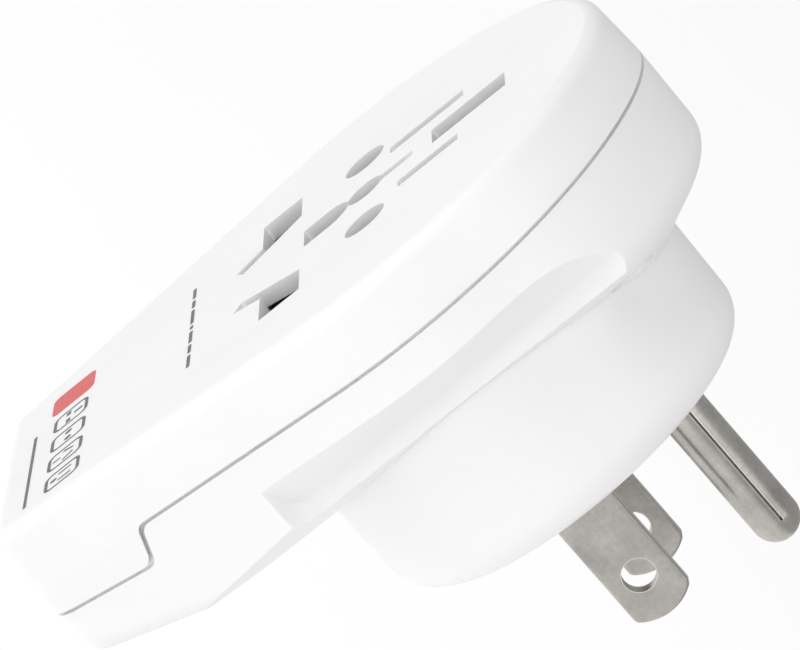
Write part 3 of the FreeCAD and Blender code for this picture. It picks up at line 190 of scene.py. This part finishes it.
def metal(name, dark, light, rough, stretch, edge_highlight):
    """Plated or stamped metal: drawn streaks, cloudy tarnish, painted highlights on edges, painted
    shade in grooves.
    """
    s = Shader(name, Metallic=1.0)
    streaks = s.noise(scale=900, detail=3, stretch=stretch, roughness=0.7)
    clouds = s.noise(scale=260, detail=4)
    edge = s.edges(0.25 * MM, 0.8, 0.99)
    mottle = s.noise(scale=1900, detail=3, roughness=0.75)
    # spots are random darker mottling; the darkest share is painted shade for grooves
    spots, painted_groove_shade = (tuple(c * share for c in dark) for share in (0.6, 0.12))
    tone = s.mix(s.spread(clouds, 0, 1), dark, light)
    tone = s.mix(s.spread(mottle, 0, 0.35), tone, spots)
    # painted highlight: edges get a much paler colour
    tone = s.mix(s.spread(edge, 0, 0.8, 0, 1), tone, edge_highlight)
    # painted shade: colour darkened towards near black in grooves and narrow gaps
    s.color(s.mix(s.spread(s.occlusion(0.5 * MM), 0, 1, 0.25, 0.65), painted_groove_shade, tone))
    s.rough(s.add(s.spread(streaks, rough - 0.08, rough + 0.12), s.spread(clouds, -0.03, 0.05)))
    fine = s.bump(mottle, distance=0.008 * MM, strength=0.5)
    s.bump(streaks, distance=0.02 * MM, strength=0.6, under=fine)
    return s.material


def ink(name, color):
    """Pad-printed ink: slightly patchy, a little glossier than the plastic."""
    s = Shader(name, IOR=1.5)
    patches = s.noise(scale=2600, detail=3, roughness=0.7)
    paler = tuple(min(1, c * 1.2 + 0.02) for c in color)
    s.color(s.mix(s.spread(patches, 0, 1, 0.4, 0.7), color, paler))
    s.rough(s.spread(patches, 0.3, 0.45))
    s.bump(patches, distance=0.006 * MM, strength=0.5)
    return s.material


ALONG_Y, ALONG_Z = (1, 0.05, 1), (1, 1, 0.05)     # a small share draws the streaks out that way
SLOT_MATERIALS = {
    "white_plastic": white_plastic(),
    "black_plastic": dark_plastic(
        "black_plastic", dark=(0.012, 0.012, 0.013), light=(0.04, 0.04, 0.042), grain_scale=2200),
    "grey_insulator": dark_plastic(
        "grey_insulator", dark=(0.3, 0.31, 0.33), light=(0.42, 0.43, 0.45), grain_scale=1800),
    "nickel_plate": metal(
        "nickel_plate", dark=(0.39, 0.375, 0.35), light=(0.54, 0.52, 0.485),
        rough=0.28, stretch=ALONG_Y, edge_highlight=(0.9, 0.88, 0.85)),
    "contact_bronze": metal(
        "contact_bronze", dark=(0.62, 0.4, 0.2), light=(0.74, 0.5, 0.27),
        rough=0.3, stretch=ALONG_Z, edge_highlight=(0.9, 0.7, 0.45)),
    "spring_steel": metal(
        "spring_steel", dark=(0.42, 0.42, 0.43), light=(0.55, 0.55, 0.56),
        rough=0.28, stretch=ALONG_Z, edge_highlight=(0.75, 0.75, 0.76)),
}
for part in frame["record"]["subparts"]:
    obj = nodes[part["node"]]
    obj.data.materials.clear()
    obj.data.materials.append(SLOT_MATERIALS[part["material_slot"]])


# ---------------------------------------------------------------- pieces

def mesh_piece(name, vertices, faces, material, smooth=True):
    mesh = bpy.data.meshes.new(name)
    mesh.from_pydata([Vector(v) * MM for v in vertices], [], faces)
    mesh.validate()
    mesh.update()
    mesh.materials.append(material)
    for polygon in mesh.polygons:
        polygon.use_smooth = smooth
    piece = bpy.data.objects.new(name, mesh)
    scene.collection.objects.link(piece)
    return piece


def tube(points, radius, around):
    """Vertices and faces of a closed tube along points, in millimetres."""
    count = len(points)
    vertices, faces = [], []
    for i, point in enumerate(points):
        ahead = points[min(i + 1, count - 1)] - points[max(i - 1, 0)]
        ahead.normalize()
        side = ahead.cross(Vector((0, 0, 1))).normalized()
        over = side.cross(ahead)
        for j in range(around):
            turn = 2 * math.pi * j / around
            vertices.append(point + (side * math.cos(turn) + over * math.sin(turn)) * radius)
    for i in range(count - 1):
        for j in range(around):
            a, b = i * around + j, i * around + (j + 1) % around
            faces.append((a, b, b + around, a + around))
    faces.append(tuple(range(around))[::-1])
    faces.append(tuple((count - 1) * around + j for j in range(around)))
    return vertices, faces


SPRING_RADIUS, WIRE = 1.35, 0.2     # coil and wire radius, in millimetres
TURNS, CLOSED = 10.0, 1.2           # turns in all, and wound shut at each end
TURN_STEPS, WIRE_SIDES = 24, 10
SPRING_LOW, SPRING_HIGH = 0.05, 14.75


def spring(name, node):
    """A compression spring with closed end coils, between the shutter's lug and the carrier."""
    low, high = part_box(node)
    centre = (low + high) / 2 / MM
    steps = int(TURNS * TURN_STEPS)
    open_length = SPRING_HIGH - SPRING_LOW - 2 * WIRE - 4 * WIRE * CLOSED
    points = []
    for i in range(steps + 1):
        turn = TURNS * i / steps
        run = min(max((turn - CLOSED) / (TURNS - 2 * CLOSED), 0), 1)
        ends = min(turn, CLOSED) + max(turn - (TURNS - CLOSED), 0)
        wound = WIRE * 2 * ends
        z = SPRING_LOW + WIRE + wound + run * open_length
        angle = 2 * math.pi * turn
        x, y = centre.x + SPRING_RADIUS * math.cos(angle), centre.y + SPRING_RADIUS * math.sin(angle)
        points.append(Vector((x, y, z)))
    vertices, faces = tube(points, WIRE, WIRE_SIDES)
    piece = mesh_piece(name, vertices, faces, SLOT_MATERIALS["spring_steel"])
    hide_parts(node)
    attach(piece, "housing")
    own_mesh(piece)


spring("left_coil_spring", "left_shutter_spring")
spring("right_coil_spring", "right_shutter_spring")


# ---------------------------------------------------------------- printed marks

FACE_Y = -32.0
PRINT = 0.01      # height of the ink
CIRCLE_POINTS, CORNER_STEPS = 40, 8
LEAST_CORNER = 0.05


# Each shape on the socket face is a pair: its rim's points, and its hole's points or None.

def disc(x, z, radius):
    turns = [2 * math.pi * i / CIRCLE_POINTS for i in range(CIRCLE_POINTS)]
    return [(x + radius * math.cos(turn), z + radius * math.sin(turn)) for turn in turns], None


def bar(x, z, wide, high, tilt=0.0):
    """A rectangle turned by tilt degrees."""
    turn = math.radians(tilt)
    corners = []
    for a, b in ((-1, -1), (1, -1), (1, 1), (-1, 1)):
        across, up = a * wide / 2, b * high / 2
        corners.append((x + across * math.cos(turn) - up * math.sin(turn),
                        z + across * math.sin(turn) + up * math.cos(turn)))
    return corners, None


def rounded(x, z, wide, high, corner, inset=0.0):
    """A rounded rectangle, or a frame inset wide."""
    def rim(shrink):
        points = []
        w, h, r = wide / 2 - shrink, high / 2 - shrink, max(corner - shrink, LEAST_CORNER)
        for k, (a, b) in enumerate(((1, 1), (-1, 1), (-1, -1), (1, -1))):
            for i in range(CORNER_STEPS + 1):
                turn = math.pi / 2 * (k + i / CORNER_STEPS)
                points.append((x + a * (w - r) + r * math.cos(turn),
                               z + b * (h - r) + r * math.sin(turn)))
        return points
    return rim(0), (rim(inset) if inset else None)


def print_marks(name, shapes, material):
    """Thin closed layers of ink on the socket face."""
    vertices, faces = [], []
    for rim, hole in shapes:
        loops = [rim] + ([hole] if hole else [])
        first = len(vertices)
        count = len(rim)
        for y in (FACE_Y + PRINT, FACE_Y - PRINT):
            for loop in loops:
                vertices.extend((x, y, z) for x, z in loop)
        top = first + count * len(loops)
        for i in range(count):
            j = (i + 1) % count
            faces.append((first + i, top + i, top + j, first + j))
            if hole:
                faces.append((first + count + i, first + count + j,
                              top + count + j, top + count + i))
                faces.append((top + i, top + count + i, top + count + j, top + j))
                faces.append((first + i, first + j, first + count + j, first + count + i))
        if not hole:
            faces.append(tuple(top + i for i in range(count)))
            faces.append(tuple(first + i for i in range(count))[::-1])
    piece = mesh_piece(name, vertices, faces, material, smooth=False)
    fix = bmesh.new()
    fix.from_mesh(piece.data)
    bmesh.ops.recalc_face_normals(fix, faces=fix.faces)
    fix.to_mesh(piece.data)
    fix.free()
    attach(piece, "housing")
    return piece


red_ink = ink("red_ink", (0.62, 0.012, 0.008))
dark_ink = ink("dark_ink", (0.03, 0.03, 0.033))

MARK_Z = -32.6
print_marks("red_mark", [rounded(-9.9, MARK_Z, 5.2, 5.2, 0.9)], red_ink)

# Four plain pictograms of the socket's plug types, in a row.
ICON, ICON_CORNER, ICON_LINE = 4.2, 1.0, 0.42
UK_X, ROUND_X, SLANTED_X, US_X = -3.6, 2.0, 7.6, 13.2
icons = [rounded(x, MARK_Z, ICON, ICON, ICON_CORNER, ICON_LINE)
         for x in (UK_X, ROUND_X, SLANTED_X, US_X)]
for side in (-1, 1):
    icons.append(bar(UK_X + side * 0.95, MARK_Z - 0.3, 0.95, 0.55))
    icons.append(disc(ROUND_X + side * 0.85, MARK_Z, 0.42))
    icons.append(bar(SLANTED_X + side * 0.85, MARK_Z + 0.35, 0.4, 1.4, side * 30))
    icons.append(bar(US_X + side * 0.8, MARK_Z + 0.3, 0.4, 1.5))
icons.append(bar(UK_X, MARK_Z + 0.9, 0.55, 1.0))
icons.append(bar(SLANTED_X, MARK_Z - 1.0, 0.4, 0.9))
icons.append(disc(US_X, MARK_Z - 1.0, 0.4))
print_marks("plug_pictograms", icons, dark_ink)

# A row of dashes in place of the rating text, and a rule in place of the tagline.
DASHES_LEFT, DASHES_Z, DASH_GAP, DASH_HIGH = -12.4, -17.8, 0.65, 0.42
RULE_X, RULE_Z, RULE_WIDE, RULE_HIGH = 4.6, -37.0, 20.0, 0.4
ROUNDED_END = 0.2
rating = []
left = DASHES_LEFT
for wide in (3.0, 2.2, 4.2, 1.0, 3.4, 2.4, 3.6):
    rating.append(rounded(left + wide / 2, DASHES_Z, wide, DASH_HIGH, ROUNDED_END))
    left += wide + DASH_GAP
print_marks("upper_rule", rating, dark_ink)
print_marks("lower_rule", [rounded(RULE_X, RULE_Z, RULE_WIDE, RULE_HIGH, ROUNDED_END)], dark_ink)


# ---------------------------------------------------------------- floor, light and camera

FLOOR_Z, FLOOR_REACH = -0.16, 6.0     # metres, as is everything below


def placed(place, right, up, back):
    """The matrix of a lamp or camera that looks away from back."""
    return Matrix.Translation(place) @ Matrix((right, up, back)).transposed().to_4x4()


def floor():
    mesh = bpy.data.meshes.new("floor")
    corners = [(a * FLOOR_REACH, b * FLOOR_REACH, FLOOR_Z)
               for a, b in ((-1, -1), (1, -1), (1, 1), (-1, 1))]
    mesh.from_pydata(corners, [], [(0, 1, 2, 3)])
    s = Shader("pale_floor", Roughness=0.7, Emission_Strength=0.45)
    s.bsdf.inputs["Emission Color"].default_value = (1, 1, 1, 1)
    s.color(s.mix(s.spread(s.noise(6, 2), 0, 1), (0.9, 0.9, 0.9), (0.93, 0.93, 0.93)))
    mesh.materials.append(s.material)
    plane = bpy.data.objects.new("floor", mesh)
    scene.collection.objects.link(plane)


MIDDLE = (0, -0.01, 0)     # where the lights point


def area_light(name, place, wide, power):
    """A round lamp at place, turned to the middle of the adapter."""
    light = bpy.data.lights.new(name, "AREA")
    light.shape = "DISK"
    light.size = wide
    light.energy = power
    lamp = bpy.data.objects.new(name, light)
    scene.collection.objects.link(lamp)
    back = (Vector(place) - Vector(MIDDLE)).normalized()
    right = Vector((0, 0, 1)).cross(back).normalized()
    lamp.matrix_world = placed(place, right, back.cross(right), back)


floor()
area_light("front", (0.25, -0.75, 0.15), wide=0.6, power=1.24)
area_light("upper", (0.6, -0.05, 0.6), wide=0.6, power=1.95)

# An even white studio, which the camera sees at full white.
world = bpy.data.worlds.new("studio")
world.use_nodes = True
background = world.node_tree.nodes["Background"]
background.inputs["Color"].default_value = (1, 1, 1, 1)
background.inputs["Strength"].default_value = 0.54
seen = world.node_tree.nodes.new("ShaderNodeBackground")
seen.inputs["Color"].default_value = (1, 1, 1, 1)
seen.inputs["Strength"].default_value = 1.0
path = world.node_tree.nodes.new("ShaderNodeLightPath")
choose = world.node_tree.nodes.new("ShaderNodeMixShader")
links = world.node_tree.links
links.new(path.outputs["Is Camera Ray"], choose.inputs[0])
links.new(background.outputs[0], choose.inputs[1])
links.new(seen.outputs[0], choose.inputs[2])
links.new(choose.outputs[0], world.node_tree.nodes["World Output"].inputs["Surface"])
scene.world = world
scene.view_settings.view_transform = "Standard"

camera = bpy.data.cameras.new("camera")
camera.lens = 269.9
camera.sensor_width = 36
camera.clip_start = 0.01
camera.clip_end = 50
eye = bpy.data.objects.new("camera", camera)
scene.collection.objects.link(eye)
EYE_AT = (0.5241, -0.1493, 0.1027)
RIGHT, UP, BACK = (0.0031, 0.640, 0.7683), (-0.3034, -0.7315, 0.6106), (0.9529, -0.235, 0.1919)
eye.matrix_world = placed(EYE_AT, RIGHT, UP, BACK)
scene.camera = eye
